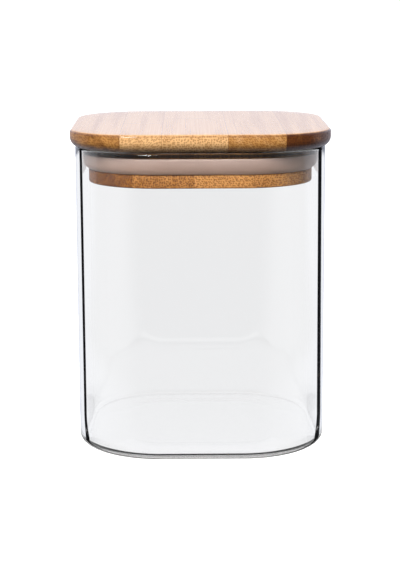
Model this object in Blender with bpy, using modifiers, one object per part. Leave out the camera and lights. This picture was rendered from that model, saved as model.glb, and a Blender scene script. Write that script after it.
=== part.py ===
"""Square glass storage jar with a laminated bamboo lid and a silicone seal.

Metres, +Z up. The origin is the middle of the base, on the surface the jar
stands on. The jar's front looks along -Y. The lid lifts straight up.
"""

from math import cos, pi, radians, sin

import bmesh
import bpy

# Glass body
GLASS_WIDTH = 0.1000
GLASS_HEIGHT = 0.1216
GLASS_CORNER_RADIUS = 0.0343
WALL = 0.0022
FLOOR = 0.0020
BASE_EDGE_RADIUS = 0.0034
INNER_FLOOR_RADIUS = 0.0020
RIM_RADIUS = 0.0009
STANDING_RING_WIDTH = 0.0045
PUNT_SLOPE_WIDTH = 0.0120
PUNT_DEPTH = 0.0005

# Lid board, the part above the rim
BOARD_OVERHANG = 0.0015
BOARD_THICKNESS = 0.0069
BOARD_CORNER_RADIUS = 0.0281
BOARD_TOP_EDGE_RADIUS = 0.0012
BOARD_LOWER_EDGE_RADIUS = 0.0037
REST_GAP = 0.0003

# Lid plug, the part inside the mouth
PLUG_SIDE_GAP = 0.0032
PLUG_DEPTH = 0.0144
PLUG_FOOT_RADIUS = 0.0006

# Glue lines between the bamboo strips, left to right, as shares of the half width they cross
BOARD_GLUE_SHARES = (-0.60, -0.29, 0.20, 0.63)
PLUG_GLUE_SHARES = (-0.59, -0.06, 0.46)

# Silicone seal, held in a groove round the plug
SEAL_DROP = 0.0028
SEAL_HEIGHT = 0.0063
SEAL_LIP_THICKNESS = 0.0008
SEAL_CHANNEL_DEPTH = 0.0026
SEAL_FOOT_ANGLE = radians(30)
SEAL_ROOT_HEIGHT = 0.0030
GROOVE_DEPTH = 0.0020
SEAL_GAP = 0.0003

# Working values
OVERRUN = 0.0050
WELD_DISTANCE = 0.000001
SMALLEST_CORNER = 0.0004
CORNER_SEGMENTS = 14
BASE_SEGMENTS = 6
INNER_FLOOR_SEGMENTS = 5
RIM_SEGMENTS = 3
PUNT_SEGMENTS = 4
SEAL_SEGMENTS = 8
SMOOTH_ANGLE = radians(35)

# Sizes that follow from the ones above
GLASS_HALF = GLASS_WIDTH / 2
MOUTH_HALF = GLASS_HALF - WALL
MOUTH_CORNER_RADIUS = GLASS_CORNER_RADIUS - WALL
BOARD_HALF = GLASS_HALF + BOARD_OVERHANG
PLUG_HALF = MOUTH_HALF - PLUG_SIDE_GAP
PLUG_CORNER_RADIUS = MOUTH_CORNER_RADIUS - PLUG_SIDE_GAP
LID_SEAT_HEIGHT = GLASS_HEIGHT + REST_GAP
SEAL_FOOT = -(SEAL_DROP + SEAL_HEIGHT)
SEAL_FLARE = PLUG_SIDE_GAP - SEAL_GAP

# Colour, roughness, metallic value and transmission
GLASS_LOOK = ((0.93, 0.96, 0.96), 0.02, 0.0, 1.0)
BOARD_LOOKS = (((0.70, 0.47, 0.27), 0.42, 0.0, 0.0), ((0.64, 0.41, 0.22), 0.45, 0.0, 0.0))
PLUG_LOOKS = (((0.60, 0.37, 0.19), 0.55, 0.0, 0.0), ((0.54, 0.32, 0.15), 0.58, 0.0, 0.0))
SEAL_LOOK = ((0.52, 0.41, 0.37), 0.50, 0.0, 0.1)


def clear_scene():
    for item in list(bpy.data.objects):
        bpy.data.objects.remove(item, do_unlink=True)


def new_collection(name):
    collection = bpy.data.collections.new(name)
    bpy.context.scene.collection.children.link(collection)
    return collection


def make_material(name, look):
    colour, roughness, metallic, transmission = look
    material = bpy.data.materials.new(name)
    material.use_nodes = True
    shader = material.node_tree.nodes["Principled BSDF"]
    shader.inputs["Base Color"].default_value = (*colour, 1.0)
    shader.inputs["Roughness"].default_value = roughness
    shader.inputs["Metallic"].default_value = metallic
    shader.inputs["Transmission Weight"].default_value = transmission
    return material


def finish_piece(piece, look, collection, parent=None):
    """Give a piece its own material, smooth shading and its parent."""
    piece.data.materials.clear()
    piece.data.materials.append(make_material(piece.name, look))
    piece.data.shade_smooth()
    piece.data.set_sharp_from_angle(angle=SMOOTH_ANGLE)
    collection.objects.link(piece)
    piece.parent = parent


def rounded_square(half_width, corner_radius):
    """Points of a square with round corners, anticlockwise from the front right."""
    radius = max(corner_radius, SMALLEST_CORNER)
    centre = half_width - radius
    points = []
    for quarter, (side_x, side_y) in enumerate(((1, 1), (-1, 1), (-1, -1), (1, -1))):
        for step in range(CORNER_SEGMENTS + 1):
            angle = (quarter + step / CORNER_SEGMENTS) * pi / 2
            points.append((side_x * centre + radius * cos(angle), side_y * centre + radius * sin(angle)))
    return points


def quarter_arc(centre, radius, start, segments):
    """Points of a quarter turn, anticlockwise from the start angle."""
    angles = [start + pi / 2 * step / segments for step in range(segments + 1)]
    return [(centre[0] + radius * cos(angle), centre[1] + radius * sin(angle)) for angle in angles]


def push_up(height):
    """Side points of the gentle push-up, from its rim inwards, starting at a height."""
    ring_inner_edge = BASE_EDGE_RADIUS + STANDING_RING_WIDTH
    points = []
    for step in range(PUNT_SEGMENTS + 1):
        share = step / PUNT_SEGMENTS
        rise = (1 - cos(pi * share)) / 2
        points.append((ring_inner_edge + PUNT_SLOPE_WIDTH * share, height + PUNT_DEPTH * rise))
    return points


def glass_profile():
    """Side profile of the glass as (inset from the outer face, height), base first."""
    profile = list(reversed(push_up(0)))
    base_centre = (BASE_EDGE_RADIUS, BASE_EDGE_RADIUS)
    rim_height = GLASS_HEIGHT - RIM_RADIUS
    floor_centre = (WALL + INNER_FLOOR_RADIUS, FLOOR + INNER_FLOOR_RADIUS)
    profile += reversed(quarter_arc(base_centre, BASE_EDGE_RADIUS, pi, BASE_SEGMENTS))
    profile += reversed(quarter_arc((RIM_RADIUS, rim_height), RIM_RADIUS, pi / 2, RIM_SEGMENTS))
    profile += reversed(quarter_arc((WALL - RIM_RADIUS, rim_height), RIM_RADIUS, 0, RIM_SEGMENTS))
    profile += quarter_arc(floor_centre, INNER_FLOOR_RADIUS, pi, INNER_FLOOR_SEGMENTS)
    profile += push_up(FLOOR)
    return profile


def build_glass(collection):
    """Loft the glass through rounded-square sections, up the outside and down the inside."""
    mesh = bmesh.new()
    rings = []
    for inset, height in glass_profile():
        outline = rounded_square(GLASS_HALF - inset, GLASS_CORNER_RADIUS - inset)
        rings.append([mesh.verts.new((x, y, height)) for x, y in outline])
    for lower, upper in zip(rings, rings[1:]):
        for here in range(len(lower)):
            before = here - 1
            mesh.faces.new((lower[before], lower[here], upper[here], upper[before]))
    mesh.faces.new(rings[0])
    mesh.faces.new(rings[-1])
    bmesh.ops.recalc_face_normals(mesh, faces=mesh.faces)
    data = bpy.data.meshes.new("glass_body")
    mesh.to_mesh(data)
    mesh.free()
    finish_piece(bpy.data.objects.new("glass_body", data), GLASS_LOOK, collection)


def curve_to_mesh(curve_object, name):
    """Swap a curve object for a welded mesh object with flat faces merged."""
    bpy.context.view_layer.update()
    evaluated = curve_object.evaluated_get(bpy.context.evaluated_depsgraph_get())
    data = bpy.data.meshes.new_from_object(evaluated)
    data.name = name
    mesh = bmesh.new()
    mesh.from_mesh(data)
    bmesh.ops.remove_doubles(mesh, verts=mesh.verts, dist=WELD_DISTANCE)
    bmesh.ops.dissolve_limit(mesh, angle_limit=radians(0.5), verts=mesh.verts, edges=mesh.edges)
    bmesh.ops.recalc_face_normals(mesh, faces=mesh.faces)
    mesh.to_mesh(data)
    mesh.free()
    solid = bpy.data.objects.new(name, data)
    solid.matrix_world = curve_object.matrix_world
    bpy.data.objects.remove(curve_object, do_unlink=True)
    solid.name = name
    return solid


def outline_curve(name, points):
    """A closed flat curve through the points, in the XY plane."""
    curve = bpy.data.curves.new(name, "CURVE")
    curve.dimensions = "2D"
    curve.fill_mode = "NONE"
    spline = curve.splines.new("POLY")
    spline.points.add(len(points) - 1)
    for point, (x, y) in zip(spline.points, points):
        point.co = (x, y, 0, 1)
    spline.use_cyclic_u = True
    curve_object = bpy.data.objects.new(name, curve)
    bpy.context.scene.collection.objects.link(curve_object)
    return curve_object


def make_slab(name, half_width, corner_radius, bottom, top):
    """A flat block with a rounded-square outline between two heights."""
    outline = outline_curve(name, rounded_square(half_width, corner_radius))
    outline.data.fill_mode = "BOTH"
    outline.data.extrude = (top - bottom) / 2
    slab = curve_to_mesh(outline, name)
    for vertex in slab.data.vertices:
        vertex.co.z = top if vertex.co.z > 0 else bottom
    return slab


def sweep_ring(name, half_width, corner_radius, profile):
    """Carry a closed profile, as (outward, up), round a rounded square."""
    section = outline_curve(name + "_section", [(-outward, up) for outward, up in profile])
    path = outline_curve(name, rounded_square(half_width, corner_radius))
    path.data.bevel_mode = "OBJECT"
    path.data.bevel_object = section
    ring = curve_to_mesh(path, name)
    bpy.data.objects.remove(section, do_unlink=True)
    return ring


def round_edges(slab, radii, segments):
    """Round the outline edges at each given height with their own radius."""
    mesh = bmesh.new()
    mesh.from_mesh(slab.data)
    weight = mesh.edges.layers.float.new("bevel_weight_edge")
    widest = max(radii.values())
    for edge in mesh.edges:
        low, high = sorted(vertex.co.z for vertex in edge.verts)
        for height, radius in radii.items():
            if abs(low - height) < WELD_DISTANCE and abs(high - height) < WELD_DISTANCE:
                edge[weight] = radius / widest
    mesh.to_mesh(slab.data)
    mesh.free()
    bevel = slab.modifiers.new("rounded edges", "BEVEL")
    bevel.limit_method = "WEIGHT"
    bevel.width = widest
    bevel.segments = segments


def keep_one_side(mesh, x, side):
    """Saw a solid at a plane across X and close the cut, keeping the side that side points to."""
    geometry = mesh.verts[:] + mesh.edges[:] + mesh.faces[:]
    cut = bmesh.ops.bisect_plane(mesh, geom=geometry, dist=WELD_DISTANCE, plane_co=(x, 0, 0),
                                 plane_no=(-side, 0, 0), clear_outer=True)
    edges = [item for item in cut["geom_cut"] if isinstance(item, bmesh.types.BMEdge)]
    for item in cut["geom_cut"]:
        if isinstance(item, bmesh.types.BMVert):
            item.co.x = x
    bmesh.ops.holes_fill(mesh, edges=edges, sides=0)
    bmesh.ops.recalc_face_normals(mesh, faces=mesh.faces)


def saw_into_strips(blank, name, lines, looks, collection, parent):
    """Split a finished blank along its glue lines, given as X, into strips from left to right."""
    bpy.context.scene.collection.objects.link(blank)
    bpy.context.view_layer.update()
    evaluated = blank.evaluated_get(bpy.context.evaluated_depsgraph_get())
    whole = bpy.data.meshes.new_from_object(evaluated)
    bpy.data.objects.remove(blank, do_unlink=True)
    for number in range(len(lines) + 1):
        mesh = bmesh.new()
        mesh.from_mesh(whole)
        if number > 0:
            keep_one_side(mesh, lines[number - 1], 1)
        if number < len(lines):
            keep_one_side(mesh, lines[number], -1)
        strip_name = f"{name}_strip_{number + 1}"
        data = bpy.data.meshes.new(strip_name)
        mesh.to_mesh(data)
        mesh.free()
        strip = bpy.data.objects.new(strip_name, data)
        finish_piece(strip, looks[number % len(looks)], collection, parent)
    bpy.data.meshes.remove(whole)


def build_board(collection, lid):
    """The board over the rim: crisp top edge, fuller rounding below."""
    board = make_slab("lid_board", BOARD_HALF, BOARD_CORNER_RADIUS, 0, BOARD_THICKNESS)
    round_edges(board, {0: BOARD_LOWER_EDGE_RADIUS, BOARD_THICKNESS: BOARD_TOP_EDGE_RADIUS}, 5)
    lines = [share * BOARD_HALF for share in BOARD_GLUE_SHARES]
    saw_into_strips(board, "lid_board", lines, BOARD_LOOKS, collection, lid)


def build_plug(collection, cutters, lid):
    """The plug inside the mouth, with the groove that holds the seal."""
    plug = make_slab("lid_plug", PLUG_HALF, PLUG_CORNER_RADIUS, -PLUG_DEPTH, 0)
    round_edges(plug, {-PLUG_DEPTH: PLUG_FOOT_RADIUS}, 2)
    low = SEAL_FOOT - SEAL_GAP
    high = SEAL_FOOT + SEAL_ROOT_HEIGHT + SEAL_GAP
    section = [(-GROOVE_DEPTH, low), (OVERRUN, low), (OVERRUN, high), (-GROOVE_DEPTH, high)]
    groove = sweep_ring("seal_groove_cutter", PLUG_HALF, PLUG_CORNER_RADIUS, section)
    groove.hide_render = True
    groove.display_type = "WIRE"
    cutters.objects.link(groove)
    cut = plug.modifiers.new("seal groove", "BOOLEAN")
    cut.operation = "DIFFERENCE"
    cut.solver = "EXACT"
    cut.object = groove
    lines = [share * PLUG_HALF for share in PLUG_GLUE_SHARES]
    saw_into_strips(plug, "lid_plug", lines, PLUG_LOOKS, collection, lid)
    groove.parent = lid


def seal_profile():
    """Section of the seal as (outward from the plug's side, up from its foot)."""
    steps = [step / SEAL_SEGMENTS for step in range(SEAL_SEGMENTS + 1)]
    outer_reach = 1 - sin(SEAL_FOOT_ANGLE)
    outer_rise = cos(SEAL_FOOT_ANGLE)
    outside = []
    for step in steps:
        angle = SEAL_FOOT_ANGLE + (pi / 2 - SEAL_FOOT_ANGLE) * step
        reach_share = (sin(angle) - sin(SEAL_FOOT_ANGLE)) / outer_reach
        rise_share = 1 - cos(angle) / outer_rise
        outside.append((SEAL_FLARE * reach_share, SEAL_HEIGHT * rise_share))
    channel = SEAL_FLARE - SEAL_LIP_THICKNESS - SEAL_GAP
    inside = []
    for step in steps:
        angle = pi / 2 * step
        inside.append((SEAL_GAP + channel * cos(angle), SEAL_HEIGHT - SEAL_CHANNEL_DEPTH * sin(angle)))
    root_back = SEAL_GAP - GROOVE_DEPTH
    root = [(SEAL_GAP, SEAL_ROOT_HEIGHT), (root_back, SEAL_ROOT_HEIGHT), (root_back, 0)]
    return outside + inside + root


def build_seal(collection, lid):
    """The ring whose lip flares out to the glass and whose root sits in the plug's groove."""
    section = [(outward, SEAL_FOOT + up) for outward, up in seal_profile()]
    ring = sweep_ring("silicone_seal", PLUG_HALF, PLUG_CORNER_RADIUS, section)
    finish_piece(ring, SEAL_LOOK, collection, lid)


def build_jar():
    clear_scene()
    jar = new_collection("glass_storage_jar")
    cutters = new_collection("cutters")
    lid = bpy.data.objects.new("lid_lift_axis", None)
    lid.empty_display_size = BOARD_HALF
    lid.location = (0, 0, LID_SEAT_HEIGHT)
    jar.objects.link(lid)
    build_glass(jar)
    build_board(jar, lid)
    build_plug(jar, cutters, lid)
    build_seal(jar, lid)


build_jar()
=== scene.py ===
# Square glass storage jar with a bamboo lid: the looks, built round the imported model.
from math import cos, pi, radians, sin

import bmesh
import bpy
from mathutils import Matrix, Vector


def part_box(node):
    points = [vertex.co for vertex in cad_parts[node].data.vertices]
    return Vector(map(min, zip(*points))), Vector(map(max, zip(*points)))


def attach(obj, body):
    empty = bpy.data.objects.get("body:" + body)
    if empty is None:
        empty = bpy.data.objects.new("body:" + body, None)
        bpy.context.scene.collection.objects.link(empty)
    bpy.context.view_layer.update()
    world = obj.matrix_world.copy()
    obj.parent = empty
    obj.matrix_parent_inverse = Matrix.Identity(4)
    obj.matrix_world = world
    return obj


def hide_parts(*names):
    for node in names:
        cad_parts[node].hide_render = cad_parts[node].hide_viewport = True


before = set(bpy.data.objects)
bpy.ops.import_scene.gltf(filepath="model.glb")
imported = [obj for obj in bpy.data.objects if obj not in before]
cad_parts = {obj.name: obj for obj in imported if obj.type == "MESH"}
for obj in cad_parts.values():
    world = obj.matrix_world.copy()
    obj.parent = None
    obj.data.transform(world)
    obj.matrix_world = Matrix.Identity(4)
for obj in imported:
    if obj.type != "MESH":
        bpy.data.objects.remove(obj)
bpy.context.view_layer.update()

boardNodes = [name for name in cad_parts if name.startswith("lid_board")]
plugNodes = [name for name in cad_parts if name.startswith("lid_plug")]
glassLow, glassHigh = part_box("glass_body")
sealLow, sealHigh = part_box("silicone_seal")
print("frame loaded:", len(boardNodes), "board strips,", len(plugNodes), "plug strips")


# Small helpers for node trees

def addNode(tree, kind, inputs=None, **settings):
    node = tree.nodes.new(kind)
    for name, value in settings.items():
        setattr(node, name, value)
    for key, value in (inputs or {}).items():
        setSocket(tree, node.inputs[key], value)
    return node


def setSocket(tree, socket, value):
    if isinstance(value, bpy.types.NodeSocket):
        tree.links.new(value, socket)
    else:
        socket.default_value = value


def calc(tree, operation, *values, clamp=False):
    node = addNode(tree, "ShaderNodeMath", dict(enumerate(values)), operation=operation, use_clamp=clamp)
    return node.outputs[0]


def product(tree, first, *others):
    for other in others:
        first = calc(tree, "MULTIPLY", first, other)
    return first


def flip(tree, value):
    return calc(tree, "SUBTRACT", 1.0, value)


def vectorCalc(tree, operation, *values):
    node = addNode(tree, "ShaderNodeVectorMath", dict(enumerate(values)), operation=operation)
    return node.outputs[0]


def scaled(tree, vector, factor):
    return addNode(tree, "ShaderNodeVectorMath", {0: vector, "Scale": factor}, operation="SCALE").outputs[0]


def split(tree, vector):
    return addNode(tree, "ShaderNodeSeparateXYZ", {0: vector}).outputs


def join(tree, *values):
    return addNode(tree, "ShaderNodeCombineXYZ", dict(enumerate(values))).outputs[0]


def noise(tree, vector, scale, detail):
    return addNode(tree, "ShaderNodeTexNoise", {"Vector": vector, "Scale": scale, "Detail": detail}).outputs[0]


def smoothStep(tree, value, low, high, outLow=0.0, outHigh=1.0):
    node = addNode(tree, "ShaderNodeMapRange", {"Value": value, "From Min": low, "From Max": high,
                   "To Min": outLow, "To Max": outHigh}, interpolation_type="SMOOTHSTEP")
    return node.outputs["Result"]


def mixValue(tree, factor, first, second):
    return addNode(tree, "ShaderNodeMix", {0: factor, 2: first, 3: second}).outputs[0]


def mixColour(tree, factor, first, second, blend="MIX"):
    node = addNode(tree, "ShaderNodeMix", data_type="RGBA", blend_type=blend)
    for socket, value in ((node.inputs[0], factor), (node.inputs[6], first), (node.inputs[7], second)):
        setSocket(tree, socket, value)
    return node.outputs[2]


def grey(level):
    return (level, level, level, 1.0)


def newGroup(name, inputs, outputs):
    tree = bpy.data.node_groups.new(name, "ShaderNodeTree")
    for label, kind, default in inputs:
        socket = tree.interface.new_socket(label, in_out="INPUT", socket_type=kind)
        if default is not None:
            socket.default_value = default
    for label, kind in outputs:
        tree.interface.new_socket(label, in_out="OUTPUT", socket_type=kind)
    return tree, addNode(tree, "NodeGroupInput"), addNode(tree, "NodeGroupOutput")


def newMaterial(name):
    material = bpy.data.materials.new(name)
    material.use_nodes = True
    tree = material.node_tree
    return material, tree, tree.nodes["Principled BSDF"], tree.nodes["Material Output"]


# Sections of the pieces: rows of (inset from the widest outline, share of the outline, height)

def arcRows(centre, radius, start, end, steps):
    rows = []
    for step in range(steps + 1):
        angle = radians(start + (end - start) * step / steps)
        rows.append((centre[0] + radius * cos(angle), 1.0, centre[1] + radius * sin(angle)))
    return rows


def capRows(inset, height, outwards, rings=8):
    rows = [(inset, ring / rings, height) for ring in range(rings + 1)]
    return rows if outwards else rows[::-1]


def straightRows(inset, low, high, steps):
    return [(inset, 1.0, low + (high - low) * step / steps) for step in range(1, steps)]


# One tree lofts every piece of the jar: a rounded square that follows a section

lofting = {"cornerPoints": 64, "weld": 0.000002}


def sectionLoftTree():
    tree = bpy.data.node_groups.new("sectionLoft", "GeometryNodeTree")
    sockets = tree.interface
    sockets.new_socket("Geometry", in_out="INPUT", socket_type="NodeSocketGeometry")
    for label, kind, default in (
            ("Half Width", "NodeSocketFloat", 0.05), ("Corner Radius", "NodeSocketFloat", 0.03),
            ("Around", "NodeSocketInt", 256), ("Finish", "NodeSocketMaterial", None)):
        socket = sockets.new_socket(label, in_out="INPUT", socket_type=kind)
        if default is not None:
            socket.default_value = default
    sockets.new_socket("Geometry", in_out="OUTPUT", socket_type="NodeSocketGeometry")
    given = addNode(tree, "NodeGroupInput").outputs
    made = addNode(tree, "NodeGroupOutput")
    width = calc(tree, "MULTIPLY", given["Half Width"], 2.0)
    square = addNode(tree, "GeometryNodeCurvePrimitiveQuadrilateral", {"Width": width, "Height": width},
                     mode="RECTANGLE")
    outline = addNode(tree, "GeometryNodeFilletCurve", {"Curve": square.outputs["Curve"],
                      "Radius": given["Corner Radius"], "Count": lofting["cornerPoints"]}, mode="POLY")
    # a sheet of points, one row for each row of the section and one column for each step round the outline
    rows = addNode(tree, "GeometryNodeAttributeDomainSize", {"Geometry": given["Geometry"]}, component="MESH")
    rowCount = rows.outputs["Point Count"]
    columns = calc(tree, "ADD", given["Around"], 1)
    sheet = addNode(tree, "GeometryNodeMeshGrid", {"Vertices X": columns, "Vertices Y": rowCount})
    index = addNode(tree, "GeometryNodeInputIndex").outputs[0]
    column = calc(tree, "FLOOR", calc(tree, "DIVIDE", calc(tree, "ADD", index, 0.5), rowCount))
    row = calc(tree, "SUBTRACT", index, calc(tree, "MULTIPLY", column, rowCount))
    along = calc(tree, "DIVIDE", column, given["Around"])
    place = addNode(tree, "GeometryNodeSampleCurve", {"Curves": outline.outputs["Curve"], "Factor": along},
                    mode="FACTOR")
    outward = vectorCalc(tree, "CROSS_PRODUCT", place.outputs["Tangent"], (0.0, 0.0, 1.0))
    outward = vectorCalc(tree, "NORMALIZE", outward)
    position = addNode(tree, "GeometryNodeInputPosition").outputs[0]
    section = addNode(tree, "GeometryNodeSampleIndex", {"Geometry": given["Geometry"], "Value": position,
                      "Index": row}, data_type="FLOAT_VECTOR", domain="POINT")
    inset, share, height = split(tree, section.outputs["Value"])
    shift = scaled(tree, outward, calc(tree, "MULTIPLY", inset, -1.0))
    spot = scaled(tree, vectorCalc(tree, "ADD", place.outputs["Position"], shift), share)
    spot = vectorCalc(tree, "ADD", spot, join(tree, 0.0, 0.0, height))
    placed = addNode(tree, "GeometryNodeSetPosition", {"Geometry": sheet.outputs["Mesh"], "Position": spot})
    merged = addNode(tree, "GeometryNodeMergeByDistance", {"Geometry": placed.outputs[0],
                     "Distance": lofting["weld"]})
    smooth = addNode(tree, "GeometryNodeSetShadeSmooth", {"Geometry": merged.outputs[0], "Shade Smooth": True})
    real = addNode(tree, "GeometryNodeRealizeInstances", {"Geometry": smooth.outputs[0]})
    finish = addNode(tree, "GeometryNodeSetMaterial", {"Geometry": real.outputs[0], "Material": given["Finish"]})
    tree.links.new(finish.outputs[0], made.inputs[0])
    return tree


def loftPiece(name, tree, rows, halfWidth, cornerRadius, around, material):
    guide = bpy.data.meshes.new(name + "Section")
    guide.from_pydata(rows, [], [])
    holder = bpy.data.objects.new(name + "Holder", guide)
    bpy.context.scene.collection.objects.link(holder)
    modifier = holder.modifiers.new("sectionLoft", "NODES")
    modifier.node_group = tree
    sockets = {item.name: item.identifier for item in tree.interface.items_tree
               if item.item_type == "SOCKET" and item.in_out == "INPUT"}
    modifier[sockets["Half Width"]] = halfWidth
    modifier[sockets["Corner Radius"]] = cornerRadius
    modifier[sockets["Around"]] = around
    modifier[sockets["Finish"]] = material
    bpy.context.view_layer.update()
    mesh = bpy.data.meshes.new_from_object(holder.evaluated_get(bpy.context.evaluated_depsgraph_get()))
    holder.modifiers.remove(modifier)
    bpy.data.objects.remove(holder, do_unlink=True)
    mesh.name = name
    solid = bmesh.new()
    solid.from_mesh(mesh)
    bmesh.ops.recalc_face_normals(solid, faces=solid.faces)
    loose = [edge for edge in solid.edges if not edge.is_manifold]
    print("  ", name, len(solid.faces), "faces,", len(loose), "open edges, volume",
          round(solid.calc_volume(signed=True) * 1e6, 2), "cm3")
    solid.to_mesh(mesh)
    solid.free()
    piece = bpy.data.objects.new(name, mesh)
    bpy.context.scene.collection.objects.link(piece)
    return piece


# Bamboo: strips side by side, with the grain along y. Lengths are in metres, low and high end of each change

bamboo = {
    "glueLine": (0.00008, 0.00022), "glue": 0.45,
    "slant": 1.6, "bendLength": 0.03, "scatter": 0.7, "dotReach": (0.40, 0.18), "dotEdge": 0.45,
    "fineWidth": 0.00026, "fineLength": 0.022, "broadWidth": 0.004, "broadLength": 0.09,
    "fineShare": 0.5, "broadShare": 0.7, "shadeZero": 0.6,
    "topDepth": 0.0004, "topTone": (0.12, 0.10), "topDots": 0.15,
    "knuckleBow": 0.003, "knuckleCentre": 0.45, "knuckleSpread": 0.085,
    "knuckleLine": (0.0003, 0.0016), "knuckle": 0.2, "haloLine": (0.0012, 0.0060), "halo": (0.35, 0.3),
    # the edge values on the next line place and darken a band of painted shade on the rounded upper edge
    "shadeEdgeIn": (0.0001, 0.0004), "shadeEdgeOut": (0.0007, 0.0013), "edge": 0.45,
    "fineRough": 0.16, "dotRough": 0.10, "fineHeight": 0.4, "dotHeight": 0.6, "glueHeight": 0.4,
}


def bambooGroup():
    tones = [(f"Tone {number}", "NodeSocketFloat", 0.5) for number in range(1, 6)]
    joints = [(f"Joint {number}", "NodeSocketFloat", 10.0) for number in range(1, 5)]
    tree, source, made = newGroup("bambooGrain", (
        ("Vector", "NodeSocketVector", None), ("Light", "NodeSocketColor", (0.84, 0.52, 0.28, 1)),
        ("Middle", "NodeSocketColor", (0.50, 0.24, 0.08, 1)), ("Dark", "NodeSocketColor", (0.16, 0.05, 0.01, 1)),
        ("Bundle", "NodeSocketColor", (0.45, 0.32, 0.20, 1)), *tones,
        ("Spacing", "NodeSocketFloat", 0.0008), ("Dots", "NodeSocketFloat", 0.7), ("Seed", "NodeSocketFloat", 0.0),
        ("Top", "NodeSocketFloat", 1.0), *joints),
        (("Color", "NodeSocketColor"), ("Roughness", "NodeSocketFloat"), ("Height", "NodeSocketFloat")))
    given = source.outputs
    x, y, z = split(tree, given["Vector"])
    strip, glue, tone = 0.0, 0.0, given["Tone 1"]
    for number in range(1, 5):
        joint = given[f"Joint {number}"]
        past = calc(tree, "GREATER_THAN", x, joint)
        strip = calc(tree, "ADD", past, strip)
        tone = mixValue(tree, past, tone, given[f"Tone {number + 1}"])
        gap = calc(tree, "ABSOLUTE", calc(tree, "SUBTRACT", x, joint))
        glue = calc(tree, "MAXIMUM", smoothStep(tree, gap, *bamboo["glueLine"], 1.0, 0.0), glue)
    # each strip has its own lean of the bundles, offset and knuckle
    draw = addNode(tree, "ShaderNodeTexWhiteNoise", {"W": calc(tree, "ADD", strip, given["Seed"])},
                   noise_dimensions="1D")
    lean, offset, knot = addNode(tree, "ShaderNodeSeparateColor", {0: draw.outputs["Color"]}).outputs
    slant = calc(tree, "MULTIPLY", calc(tree, "SUBTRACT", lean, 0.5), bamboo["slant"])
    shifted = calc(tree, "ADD", calc(tree, "ADD", x, calc(tree, "MULTIPLY", z, slant)), offset)
    across = calc(tree, "DIVIDE", shifted, given["Spacing"])
    upward = calc(tree, "DIVIDE", z, given["Spacing"])
    bend = noise(tree, join(tree, strip, calc(tree, "DIVIDE", y, bamboo["bendLength"])), 1.0, 1.0)
    cell = join(tree, calc(tree, "ADD", across, bend), upward)
    bundles = addNode(tree, "ShaderNodeTexVoronoi", {"Vector": cell, "Scale": 1.0,
                      "Randomness": bamboo["scatter"]}, feature="F1", voronoi_dimensions="2D")
    size = addNode(tree, "ShaderNodeSeparateColor", {0: bundles.outputs["Color"]}).outputs[0]
    smallest, spread = bamboo["dotReach"]
    reach = calc(tree, "ADD", smallest, calc(tree, "MULTIPLY", size, spread))
    dot = smoothStep(tree, calc(tree, "DIVIDE", bundles.outputs["Distance"], reach), bamboo["dotEdge"], 1.0,
                     1.0, 0.0)
    streaks = []
    for kind in ("fine", "broad"):
        wide, long = bamboo[kind + "Width"], bamboo[kind + "Length"]
        stretched = join(tree, calc(tree, "DIVIDE", shifted, wide), calc(tree, "DIVIDE", y, long),
                         calc(tree, "DIVIDE", z, wide))
        streaks.append(noise(tree, stretched, 1.0, 2.0))
    fine, broad = streaks
    # the sanded top is more even in tone than the end grain
    below = calc(tree, "SUBTRACT", given["Top"], z)
    evenShare, evenTone = bamboo["topTone"]
    even = mixValue(tree, evenShare, evenTone, tone)
    tone = mixValue(tree, smoothStep(tree, below, 0.0, bamboo["topDepth"]), even, tone)
    shade = calc(tree, "ADD", calc(tree, "MULTIPLY", fine, bamboo["fineShare"]),
                 calc(tree, "MULTIPLY", broad, bamboo["broadShare"]))
    shade = calc(tree, "ADD", calc(tree, "SUBTRACT", shade, bamboo["shadeZero"]), tone, clamp=True)
    tissue = mixColour(tree, smoothStep(tree, shade, 0.0, 0.5), given["Light"], given["Middle"])
    tissue = mixColour(tree, smoothStep(tree, shade, 0.5, 1.0), tissue, given["Dark"])
    # a knuckle of the cane is a thin darker line across one strip, with a paler edge
    bow = calc(tree, "MULTIPLY", calc(tree, "SUBTRACT", broad, 0.5), bamboo["knuckleBow"])
    knuckleY = calc(tree, "MULTIPLY", calc(tree, "SUBTRACT", knot, bamboo["knuckleCentre"]),
                    bamboo["knuckleSpread"])
    away = calc(tree, "ABSOLUTE", calc(tree, "SUBTRACT", calc(tree, "ADD", y, bow), knuckleY))
    knuckle = smoothStep(tree, away, *bamboo["knuckleLine"], 1.0, 0.0)
    haloPeak, haloShare = bamboo["halo"]
    halo = smoothStep(tree, away, *bamboo["haloLine"], haloPeak, 0.0)
    # end grain shows the bundles as dots, the sanded top only as faint streaks
    strength = smoothStep(tree, below, 0.0, bamboo["topDepth"], bamboo["topDots"], 1.0)
    strength = calc(tree, "MULTIPLY", strength, given["Dots"])
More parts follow.
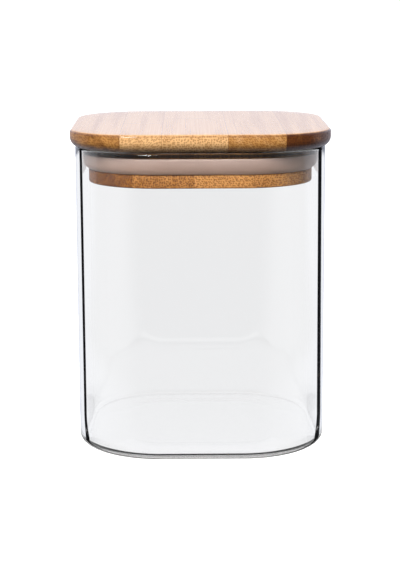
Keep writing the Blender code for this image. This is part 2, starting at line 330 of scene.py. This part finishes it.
    # painted shade: a darker line on the rounded upper edge, where the light falls off
    edge = calc(tree, "MULTIPLY", smoothStep(tree, below, *bamboo["shadeEdgeIn"]),
                smoothStep(tree, below, *bamboo["shadeEdgeOut"], 1.0, 0.0))
    wood = mixColour(tree, calc(tree, "MULTIPLY", dot, strength), tissue, given["Bundle"], "MULTIPLY")
    wood = mixColour(tree, calc(tree, "MULTIPLY", halo, haloShare), wood, given["Light"])
    # knuckles and glue lines are the wood's own marks; the edge mask is painted shade
    for mask, share in ((knuckle, bamboo["knuckle"]), (glue, bamboo["glue"]), (edge, bamboo["edge"])):
        wood = mixColour(tree, calc(tree, "MULTIPLY", mask, share), wood, given["Bundle"], "MULTIPLY")
    rough = calc(tree, "ADD", calc(tree, "MULTIPLY", fine, bamboo["fineRough"]),
                 calc(tree, "MULTIPLY", dot, bamboo["dotRough"]))
    height = calc(tree, "SUBTRACT", calc(tree, "MULTIPLY", fine, bamboo["fineHeight"]),
                  calc(tree, "MULTIPLY", dot, bamboo["dotHeight"]))
    height = calc(tree, "SUBTRACT", height, calc(tree, "MULTIPLY", glue, bamboo["glueHeight"]))
    for label, socket in (("Color", wood), ("Roughness", rough), ("Height", height)):
        tree.links.new(socket, made.inputs[label])
    return tree


def bambooMaterial(name, group, look, joints, top):
    material, tree, shader, output = newMaterial(name)
    place = addNode(tree, "ShaderNodeTexCoord").outputs["Object"]
    grain = addNode(tree, "ShaderNodeGroup", node_tree=group)
    tree.links.new(place, grain.inputs["Vector"])
    for label in ("Light", "Middle", "Dark", "Bundle"):
        grain.inputs[label].default_value = (*look[label.lower()], 1.0)
    for label in ("Spacing", "Dots", "Seed"):
        grain.inputs[label].default_value = look[label.lower()]
    grain.inputs["Top"].default_value = top
    for number, joint in enumerate(joints, 1):
        grain.inputs[f"Joint {number}"].default_value = joint
    for number, tone in enumerate(look["tones"], 1):
        grain.inputs[f"Tone {number}"].default_value = tone
    rough = calc(tree, "ADD", grain.outputs["Roughness"], look["roughness"])
    bump = addNode(tree, "ShaderNodeBump", {"Strength": look["bump"], "Distance": 0.0001,
                   "Height": grain.outputs["Height"]})
    # painted shade: the colour is darkened where little light reaches, on the neck between the glass rim and the
    # seal and on the board's lower edge
    height = split(tree, place)["Z"]
    shaded = smoothStep(tree, calc(tree, "SUBTRACT", height, sealHigh.z), *look["shadeFrom"], *look["shade"])
    tree.links.new(scaled(tree, grain.outputs["Color"], shaded), shader.inputs["Base Color"])
    tree.links.new(rough, shader.inputs["Roughness"])
    tree.links.new(bump.outputs["Normal"], shader.inputs["Normal"])
    shader.inputs["Specular IOR Level"].default_value = look["specular"]
    if "coat" in look:
        coat = smoothStep(tree, calc(tree, "SUBTRACT", top, height), *look["coatFrom"], *look["coat"])
        tree.links.new(coat, shader.inputs["Coat Weight"])
        shader.inputs["Coat Roughness"].default_value = look["coatRoughness"]
    return material


# Glass body: up the outside from the dished base, over the polished rim and down to the floor

glass = {
    "cornerRadius": 0.0343, "wall": 0.0022, "floor": 0.0020, "baseEdge": 0.0034, "floorEdge": 0.0016,
    "rim": 0.00105, "standingRing": 0.0045, "dishSlope": 0.012, "dish": 0.0005, "around": 320,
    "tint": (1.0, 1.0, 1.0), "ior": 1.47, "through": (0.10, 0.13, 0.12), "density": 1.2,
    "waveScale": 22.0, "waveStretch": 0.45, "waveDepth": 0.001, "wave": 0.02,
    "line": (0.9205, 0.9480), "lineSoft": 0.003, "lineDark": 0.93,
    "lineSkin": (0.0012, 0.0015), "lineCorner": (0.0, 0.003),
    "lineRight": 0.0055, "lineLean": (0.021, -0.16),
    "lineFoot": (0.001, 0.014), "lineBend": 0.020, "lineWiden": 0.008,
}


def dishRows(height, steps=16):
    # the base and the floor above it both rise towards the middle
    ringEdge = glass["baseEdge"] + glass["standingRing"]
    rows = []
    for step in range(steps + 1):
        share = step / steps
        rise = glass["dish"] * (1 - cos(pi * share)) / 2
        rows.append((ringEdge + glass["dishSlope"] * share, 1.0, height + rise))
    return rows


def glassRows():
    bottom, top = glassLow.z, glassHigh.z
    base, rim, wall, edge = glass["baseEdge"], glass["rim"], glass["wall"], glass["floorEdge"]
    floorTop = bottom + glass["floor"]
    dishInset = base + glass["standingRing"] + glass["dishSlope"]
    rows = capRows(dishInset, bottom + glass["dish"], True)[:-1]
    rows += dishRows(bottom)[::-1]
    rows += arcRows((base, bottom + base), base, 270, 180, 12)
    rows += straightRows(0.0, bottom + base, top - rim, 24)
    rows += arcRows((rim, top - rim), rim, 180, 90, 8)
    rows += arcRows((wall - rim, top - rim), rim, 90, 0, 8)
    rows += straightRows(wall, top - rim, floorTop + edge, 24)
    rows += arcRows((wall + edge, floorTop + edge), edge, 180, 270, 12)
    rows += dishRows(floorTop)
    rows += capRows(dishInset, floorTop + glass["dish"], False)[1:]
    return rows


def cornerReach(tree, x, y):
    # how far a spot lies past the glass's flat sides, along x and y and straight from the corner's centre
    flat = glassHigh.x - glass["cornerRadius"]
    across = [calc(tree, "MAXIMUM", calc(tree, "SUBTRACT", calc(tree, "ABSOLUTE", axis), flat), 0.0)
              for axis in (x, y)]
    squares = [calc(tree, "MULTIPLY", part, part) for part in across]
    return across, calc(tree, "SQRT", calc(tree, "ADD", *squares))


def grazing(tree):
    # 0 where a wall faces the eye and 1 where it is only grazed, measured in the level plane
    toward = flip(tree, addNode(tree, "ShaderNodeLayerWeight", {0: 0.5}).outputs["Facing"])
    upright = join(tree, 0.0, 0.0, 1.0)
    steep = flip(tree, addNode(tree, "ShaderNodeLayerWeight", {0: 0.5, "Normal": upright}).outputs["Facing"])
    level = calc(tree, "MAXIMUM", flip(tree, calc(tree, "MULTIPLY", steep, steep)), 0.01)
    ratio = calc(tree, "DIVIDE", calc(tree, "MULTIPLY", toward, toward), level)
    return calc(tree, "SQRT", calc(tree, "MAXIMUM", flip(tree, ratio), 0.0))


def paintedEdgeLine(tree, place, look):
    # painted shade: a dark line is painted down each rounded corner, where light that grazes the corner is turned
    # away inside the wall
    x, y, z = split(tree, place)
    across, reach = cornerReach(tree, x, y)
    skin = smoothStep(tree, calc(tree, "SUBTRACT", look["cornerRadius"], reach), *look["lineSkin"], 1.0, 0.0)
    corner = smoothStep(tree, calc(tree, "MINIMUM", *across), *look["lineCorner"])
    foot = smoothStep(tree, z, *look["lineFoot"], 1.0, 0.0)
    offset = calc(tree, "ADD", grazing(tree), calc(tree, "MULTIPLY", foot, look["lineBend"]))
    # the line on the right lies a little further out and is wider
    onRight = calc(tree, "GREATER_THAN", x, 0.0)
    start, slope = look["lineLean"]
    lean = calc(tree, "ADD", start, calc(tree, "MULTIPLY", z, slope))
    offset = calc(tree, "SUBTRACT", offset, calc(tree, "MULTIPLY", onRight, lean))
    widen = calc(tree, "ADD", calc(tree, "MULTIPLY", onRight, look["lineRight"]),
                 calc(tree, "MULTIPLY", foot, look["lineWiden"]))
    low, high = look["line"]
    soft = look["lineSoft"]
    inner = smoothStep(tree, calc(tree, "ADD", offset, widen), low - soft, low + soft)
    outer = smoothStep(tree, calc(tree, "SUBTRACT", offset, widen), high - soft, high + soft, 1.0, 0.0)
    front = flip(tree, addNode(tree, "ShaderNodeNewGeometry").outputs["Backfacing"])
    return product(tree, inner, outer, skin, corner, front, look["lineDark"])


def glassMaterial(look):
    material, tree, shader, output = newMaterial("clearGlass")
    place = addNode(tree, "ShaderNodeTexCoord").outputs["Object"]
    stretch = addNode(tree, "ShaderNodeMapping", {"Vector": place, "Scale": (1.0, 1.0, look["waveStretch"])})
    bump = addNode(tree, "ShaderNodeBump", {"Strength": look["wave"], "Distance": look["waveDepth"],
                   "Height": noise(tree, stretch.outputs[0], look["waveScale"], 1.0)})
    tree.links.new(bump.outputs["Normal"], shader.inputs["Normal"])
    line = paintedEdgeLine(tree, place, look)
    # the painted dark line darkens the glass's colour and its gloss tint
    tint = mixColour(tree, line, (*look["tint"], 1.0), grey(0.0))
    tree.links.new(tint, shader.inputs["Base Color"])
    tree.links.new(tint, shader.inputs["Specular Tint"])
    shader.inputs["Transmission Weight"].default_value = 1.0
    shader.inputs["Roughness"].default_value = 0.0
    # without a bend there is no mirror light either, which would grey the line
    bend = calc(tree, "SUBTRACT", look["ior"], calc(tree, "MULTIPLY", line, look["ior"] - 1.0))
    shader.inputs["IOR"].default_value = look["ior"]
    tree.links.new(bend, shader.inputs["IOR"])
    absorb = addNode(tree, "ShaderNodeVolumeAbsorption", {"Color": (*look["through"], 1.0),
                     "Density": look["density"]})
    tree.links.new(absorb.outputs[0], output.inputs["Volume"])
    return material


# Lid board: crisp upper edge, fuller rounding below. Glue lines are shares of the half width, tones go
# from left to right, 0 pale and 1 dark, and the painted shade starts above the top of the seal. The dark end
# strips are partly the strips' own tone and partly painted shade, where the ends turn away from the light

board = {
    "cornerRadius": 0.0281, "topEdge": 0.0012, "lowerEdge": 0.0037, "around": 320,
    "glueShares": (-0.60, -0.29, 0.20, 0.63), "tones": (0.66, 0.05, 0.06, 0.40, 0.98),
    "light": (0.75, 0.44, 0.19), "middle": (0.46, 0.21, 0.05), "dark": (0.12, 0.032, 0.003),
    "bundle": (0.36, 0.24, 0.12), "spacing": 0.00088, "dots": 0.62, "seed": 3.0,
    "shadeFrom": (0.0034, 0.0079), "shade": (0.45, 1.0), "roughness": 0.45, "specular": 0.3, "bump": 0.20,
    "coatFrom": (0.0002, 0.0012), "coat": (1.0, 0.35), "coatRoughness": 0.08,
}


def boardRows(low, high):
    lower, upper = board["lowerEdge"], board["topEdge"]
    rows = capRows(lower, low, True)[:-1]
    rows += arcRows((lower, low + lower), lower, 270, 180, 14)
    rows += straightRows(0.0, low + lower, high - upper, 4)
    rows += arcRows((upper, high - upper), upper, 180, 90, 8)
    rows += capRows(upper, high, False)[1:]
    return rows


# Lid plug with the groove behind the seal

plug = {
    "footEdge": 0.0006, "grooveEdge": 0.00025, "grooveDepth": 0.002, "rootHeight": 0.003, "gap": 0.0003,
    "sideGap": 0.0032, "around": 320,
    "glueShares": (-0.59, -0.06, 0.46), "tones": (0.72, 0.30, 0.04, 0.14),
    "light": (0.43, 0.198, 0.053), "middle": (0.24, 0.09, 0.014), "dark": (0.09, 0.022, 0.002),
    "bundle": (0.26, 0.16, 0.08), "spacing": 0.00084, "dots": 0.8, "seed": 41.0,
    "shadeFrom": (-0.0008, 0.0004), "shade": (1.0, 0.14), "roughness": 0.55, "specular": 0.2, "bump": 0.3,
}


def plugRows(low, high):
    foot, chamfer, deep = plug["footEdge"], plug["grooveEdge"], plug["grooveDepth"]
    grooveLow = sealLow.z - plug["gap"]
    grooveHigh = sealLow.z + plug["rootHeight"] + plug["gap"]
    rows = capRows(foot, low, True)[:-1]
    rows += arcRows((foot, low + foot), foot, 270, 180, 6)
    rows += straightRows(0.0, low + foot, grooveLow - chamfer, 4)
    rows += [(0.0, 1.0, grooveLow - chamfer), (chamfer, 1.0, grooveLow)]
    rows += [(deep, 1.0, grooveLow), (deep, 1.0, grooveHigh), (0.0, 1.0, grooveHigh), (0.0, 1.0, high)]
    rows += capRows(0.0, high, False)[1:]
    return rows


# Silicone seal: a lip that flares out to the glass, and a root in the groove

seal = {
    "flare": 0.0029, "lip": 0.0008, "tip": 0.0003, "channelDepth": 0.0026, "footAngle": 30.0, "around": 320,
    # footTone is painted a little brighter and warmer than lipTone, as painted light bounced up onto the foot
    "footTone": (0.34, 0.225, 0.175), "lipTone": (0.31, 0.225, 0.19), "cloudScale": 90.0, "cloud": 0.35,
    "speckScale": 1500.0, "speck": 0.08, "roughness": 0.46, "roughSpread": 0.15,
}


def sealRows():
    low, high, flare, tip = sealLow.z, sealHigh.z, seal["flare"], seal["tip"]
    start = radians(seal["footAngle"])
    rows = []
    for step in range(21):
        angle = start + (pi / 2 - start) * step / 20
        out = flare * (sin(angle) - sin(start)) / (1 - sin(start))
        rows.append((-out, 1.0, low + (high - low - tip) * (1 - cos(angle) / cos(start))))
    rows += [(-(flare - tip + tip * cos(radians(turn))), 1.0, high - tip + tip * sin(radians(turn)))
             for turn in (30, 60, 90)]
    channel = flare - seal["lip"] - plug["gap"]
    for step in range(13):
        angle = pi / 2 * step / 12
        rows.append((-(plug["gap"] + channel * cos(angle)), 1.0, high - seal["channelDepth"] * sin(angle)))
    back = plug["grooveDepth"] - plug["gap"]
    root = low + plug["rootHeight"]
    rows += [(-plug["gap"], 1.0, root), (back, 1.0, root), (back, 1.0, low), (0.0, 1.0, low)]
    return rows


def siliconeMaterial(look):
    material, tree, shader, output = newMaterial("sealSilicone")
    place = addNode(tree, "ShaderNodeTexCoord").outputs["Object"]
    # painted light: the colour moves from the foot's tone to the lip's; the foot is a little brighter and warmer,
    # standing in for light bounced up from below and the bamboo's brown reflection
    share = smoothStep(tree, split(tree, place)["Z"], sealLow.z, sealHigh.z)
    cloud = noise(tree, place, look["cloudScale"], 3.0)
    clouded = calc(tree, "MULTIPLY", calc(tree, "SUBTRACT", cloud, 0.5), look["cloud"])
    blend = calc(tree, "ADD", share, clouded, clamp=True)
    colour = mixColour(tree, blend, (*look["footTone"], 1.0), (*look["lipTone"], 1.0))
    rough = calc(tree, "ADD", calc(tree, "MULTIPLY", cloud, look["roughSpread"]), look["roughness"])
    bump = addNode(tree, "ShaderNodeBump", {"Strength": look["speck"], "Distance": 0.0001,
                   "Height": noise(tree, place, look["speckScale"], 2.0)})
    tree.links.new(colour, shader.inputs["Base Color"])
    tree.links.new(rough, shader.inputs["Roughness"])
    tree.links.new(bump.outputs["Normal"], shader.inputs["Normal"])
    return material


# The four pieces. A strip from the middle of the lid spans its full depth, so its box gives the half width

loft = sectionLoftTree()
grain = bambooGroup()
boardLow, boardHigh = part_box(boardNodes[2])
plugLow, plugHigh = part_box(plugNodes[2])
boardHalf = boardHigh.y
plugHalf = plugHigh.y
boardJoints = [share * boardHalf for share in board["glueShares"]]
plugJoints = [share * plugHalf for share in plug["glueShares"]]
plugTop = 1.0                       # far above the plug, whose top is hidden, so all of it shows end grain
boardFinish = bambooMaterial("boardBamboo", grain, board, boardJoints, boardHigh.z)
plugFinish = bambooMaterial("plugBamboo", grain, plug, plugJoints, plugTop)
glassFinish = glassMaterial(glass)
sealFinish = siliconeMaterial(seal)
plugCorner = glass["cornerRadius"] - glass["wall"] - plug["sideGap"]

glassPiece = loftPiece("jarGlass", loft, glassRows(), glassHigh.x, glass["cornerRadius"], glass["around"],
                       glassFinish)
boardPiece = loftPiece("lidBoard", loft, boardRows(boardLow.z, boardHigh.z), boardHalf, board["cornerRadius"],
                       board["around"], boardFinish)
plugPiece = loftPiece("lidPlug", loft, plugRows(plugLow.z, plugHigh.z), plugHalf, plugCorner, plug["around"],
                      plugFinish)
sealPiece = loftPiece("sealRing", loft, sealRows(), plugHalf, plugCorner, seal["around"], sealFinish)
print("pieces lofted")

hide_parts("glass_body")
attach(glassPiece, "jar")
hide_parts(*boardNodes)
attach(boardPiece, "lid")
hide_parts(*plugNodes)
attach(plugPiece, "lid")
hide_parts("silicone_seal")
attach(sealPiece, "lid")
glassPiece.visible_shadow = False   # light reaches the lid's plug and seal through the glass


# Studio: pale floor and white surround, dark only in front, where the camera stands. Lengths are in metres
# from the middle of the jar, and pairs are where a change starts and ends

studio = {
    "floorRadius": 8.0, "floorDrop": 0.0002, "floorGlow": 0.80, "floorWhite": 0.60, "floorFade": (0.3, 1.2),
    "floorBounce": 0.14, "throughGlass": (0.925, 0.93, 0.94), "roomFrom": (-0.6, -0.25), "roomFront": 0.30,
    "ringIn": (-0.0065, -0.0050), "ringOut": (0.0036, 0.0046), "ringTurn": (-0.015, 0.005),
    "ringFront": 0.99, "ringBack": 0.3, "ringCorner": 0.65,
    "ringCornerX": (0.030, 0.042), "ringCornerY": (0.012, 0.028),
    "underJar": (0.0495, 0.0515), "underAhead": 0.75, "underGlow": 0.92,
    "mirrorBack": (0.80, 0.84, 0.98), "mirrorFront": 0.08, "mirrorTurn": (-0.5, 0.5),
    "mirrorFloor": 0.03, "mirrorFrom": (-0.05, 0.15), "mirrorNear": (0.052, 0.060),
    "mirrorBeside": 0.15, "besideFade": (0.15, 0.25),
    "ambientLeft": 0.30, "ambientRight": 0.02, "ambientTurn": (0.15, 0.85), "ambientSky": 0.4,
    "ambientGrey": 0.8,
}


def roomShare(tree, x, y):
    # light turned back inside the glass meets a darker room in front
    total = calc(tree, "ADD", calc(tree, "ADD", calc(tree, "ABSOLUTE", x), calc(tree, "ABSOLUTE", y)), 0.0001)
    return smoothStep(tree, calc(tree, "DIVIDE", y, total), *studio["roomFrom"], studio["roomFront"], 1.0)


def rayChoice(tree, kind, seen, turned, mirrored, matt):
    # camera, glass, gloss and matt surfaces each see their own surround
    path = addNode(tree, "ShaderNodeLightPath").outputs
    hasTurned = calc(tree, "GREATER_THAN", path["Glossy Depth"], 0.5)
    scattered = calc(tree, "GREATER_THAN", path["Diffuse Depth"], 0.5)
    chosen = addNode(tree, kind, {"Color": (*studio["throughGlass"], 1.0),
                     "Strength": mixValue(tree, hasTurned, 1.0, turned)})
    gloss = addNode(tree, kind, {"Color": mirrored})
    for choice, other in ((path["Is Reflection Ray"], gloss), (scattered, matt), (path["Is Camera Ray"], seen)):
        chosen = addNode(tree, "ShaderNodeMixShader", {0: choice, 1: chosen.outputs[0], 2: other.outputs[0]})
    return chosen.outputs[0]


def buildWorld():
    world = bpy.data.worlds.new("studioWhite")
    bpy.context.scene.world = world
    world.use_nodes = True
    tree = world.node_tree
    tree.nodes.clear()
    x, y, z = split(tree, addNode(tree, "ShaderNodeTexCoord").outputs["Generated"])
    ambient = smoothStep(tree, x, *studio["ambientTurn"], studio["ambientLeft"], studio["ambientRight"])
    sky = calc(tree, "MULTIPLY", calc(tree, "MAXIMUM", z, 0.0), studio["ambientSky"])
    white = addNode(tree, "ShaderNodeBackground", {"Color": grey(1.0)})
    matt = addNode(tree, "ShaderNodeBackground", {"Color": grey(studio["ambientGrey"]),
                   "Strength": calc(tree, "ADD", ambient, sky)})
    mirrored = mixColour(tree, smoothStep(tree, y, *studio["mirrorTurn"]), grey(studio["mirrorFront"]),
                         (*studio["mirrorBack"], 1.0))
    chosen = rayChoice(tree, "ShaderNodeBackground", white, roomShare(tree, x, y), mirrored, matt)
    addNode(tree, "ShaderNodeOutputWorld", {0: chosen})


def turnedLight(tree, x, y):
    # the floor under the jar shines up into its base
    ahead = calc(tree, "MULTIPLY", calc(tree, "ABSOLUTE", y), studio["underAhead"])
    beside = smoothStep(tree, calc(tree, "MAXIMUM", calc(tree, "ABSOLUTE", x), ahead), *studio["underJar"])
    light = mixValue(tree, beside, studio["underGlow"], roomShare(tree, x, y))
    # a dark ring where the jar stands draws the line round the inner edge of the base, wider at its corners
    outside = calc(tree, "SUBTRACT", cornerReach(tree, x, y)[1], glass["cornerRadius"])
    diagonal = calc(tree, "MULTIPLY", smoothStep(tree, calc(tree, "ABSOLUTE", y), *studio["ringCornerY"]),
                    smoothStep(tree, calc(tree, "ABSOLUTE", x), *studio["ringCornerX"]))
    outside = calc(tree, "MULTIPLY", outside, flip(tree, calc(tree, "MULTIPLY", diagonal, studio["ringCorner"])))
    ring = product(tree, smoothStep(tree, outside, *studio["ringIn"]),
                   smoothStep(tree, outside, *studio["ringOut"], 1.0, 0.0),
                   smoothStep(tree, y, *studio["ringTurn"], studio["ringFront"], studio["ringBack"]))
    return calc(tree, "MULTIPLY", light, flip(tree, ring))


def mirroredLight(tree, x, y, reach):
    level = calc(tree, "ADD", y, smoothStep(tree, reach, *studio["besideFade"], studio["mirrorBeside"], 0.0))
    far = mixColour(tree, smoothStep(tree, level, *studio["mirrorFrom"]), grey(studio["mirrorFloor"]),
                    (*studio["mirrorBack"], 1.0))
    around = calc(tree, "MAXIMUM", calc(tree, "ABSOLUTE", x), calc(tree, "ABSOLUTE", y))
    return mixColour(tree, smoothStep(tree, around, *studio["mirrorNear"]), grey(studio["underGlow"]), far)


def buildFloor():
    mesh = bpy.data.meshes.new("studioFloor")
    disc = bmesh.new()
    bmesh.ops.create_circle(disc, cap_ends=True, radius=studio["floorRadius"], segments=96)
    disc.to_mesh(mesh)
    disc.free()
    floor = bpy.data.objects.new("studioFloor", mesh)
    floor.location.z = -studio["floorDrop"]
    bpy.context.scene.collection.objects.link(floor)
    material, tree, shader, output = newMaterial("studioFloor")
    place = addNode(tree, "ShaderNodeTexCoord").outputs["Object"]
    x, y, z = split(tree, place)
    reach = addNode(tree, "ShaderNodeVectorMath", {0: place}, operation="LENGTH").outputs["Value"]
    fade = smoothStep(tree, reach, *studio["floorFade"], studio["floorGlow"], 1.0)
    glow = addNode(tree, "ShaderNodeEmission", {"Strength": fade})
    white = addNode(tree, "ShaderNodeBsdfDiffuse", {"Color": grey(studio["floorWhite"])})
    seen = addNode(tree, "ShaderNodeAddShader", {0: glow.outputs[0], 1: white.outputs[0]})
    matt = addNode(tree, "ShaderNodeEmission", {"Strength": studio["floorBounce"]})
    chosen = rayChoice(tree, "ShaderNodeEmission", seen, turnedLight(tree, x, y),
                       mirroredLight(tree, x, y, reach), matt)
    tree.links.new(chosen, output.inputs["Surface"])
    tree.nodes.remove(shader)
    mesh.materials.append(material)


buildWorld()
buildFloor()


# Lights: the key from the front left does most of the work, the others only lift the lid

lights = {
    "key": {"place": (-0.42, -1.08, 0.95), "size": 0.6, "power": 26.0},
    "top": {"place": (-0.1, 0.1, 1.4), "size": 0.9, "power": 2.0},
    "fill": {"place": (0.35, -1.1, 0.55), "size": 0.5, "power": 2.6},
    "rear": {"place": (-0.3, 1.2, 0.3), "size": 0.8, "power": 5.0},
    "side": {"place": (0.75, 1.05, 0.25), "size": 0.6, "power": 5.0},
}
lightAim = Vector((0, 0, 0.08))
for name, light in lights.items():
    data = bpy.data.lights.new(name, "AREA")
    data.shape = "DISK"
    data.size = light["size"]
    data.energy = light["power"]
    lamp = bpy.data.objects.new(name, data)
    lamp.location = light["place"]
    lamp.rotation_euler = (lightAim - lamp.location).to_track_quat("-Z", "Y").to_euler()
    lamp.visible_camera = False
    lamp.visible_glossy = name == "key"      # the fill's reflection would stand as a white bar in the glass
    lamp.visible_transmission = False
    bpy.context.scene.collection.objects.link(lamp)

# Camera, fitted to the outlines of rim, lid and base

camera = {"distance": 0.6558, "height": 0.1922, "sideways": -0.0002, "pitch": 0.1977, "turn": -0.0085,
          "roll": -0.0040, "focalPixels": 1605.0, "longSide": 570.0, "sensor": 36.0}
cameraData = bpy.data.cameras.new("camera")
cameraData.sensor_width = camera["sensor"]
cameraData.lens = camera["focalPixels"] * camera["sensor"] / camera["longSide"]
cameraObject = bpy.data.objects.new("camera", cameraData)
bpy.context.scene.collection.objects.link(cameraObject)
turnMatrix = Matrix.Rotation(camera["turn"], 4, "Z")
place = turnMatrix @ Vector((camera["sideways"], -camera["distance"], camera["height"]))
aim = turnMatrix @ Matrix.Rotation(pi / 2 - camera["pitch"], 4, "X") @ Matrix.Rotation(camera["roll"], 4, "Z")
cameraObject.matrix_world = Matrix.Translation(place) @ aim
bpy.context.scene.camera = cameraObject

bpy.context.scene.view_settings.view_transform = "Standard"
bpy.context.scene.view_settings.look = "None"
cycles = bpy.context.scene.cycles
cycles.max_bounces = 128            # light runs a long way round inside the glass base
cycles.transmission_bounces = 96
cycles.glossy_bounces = 96
cycles.use_denoising = True
print("studio and camera set")
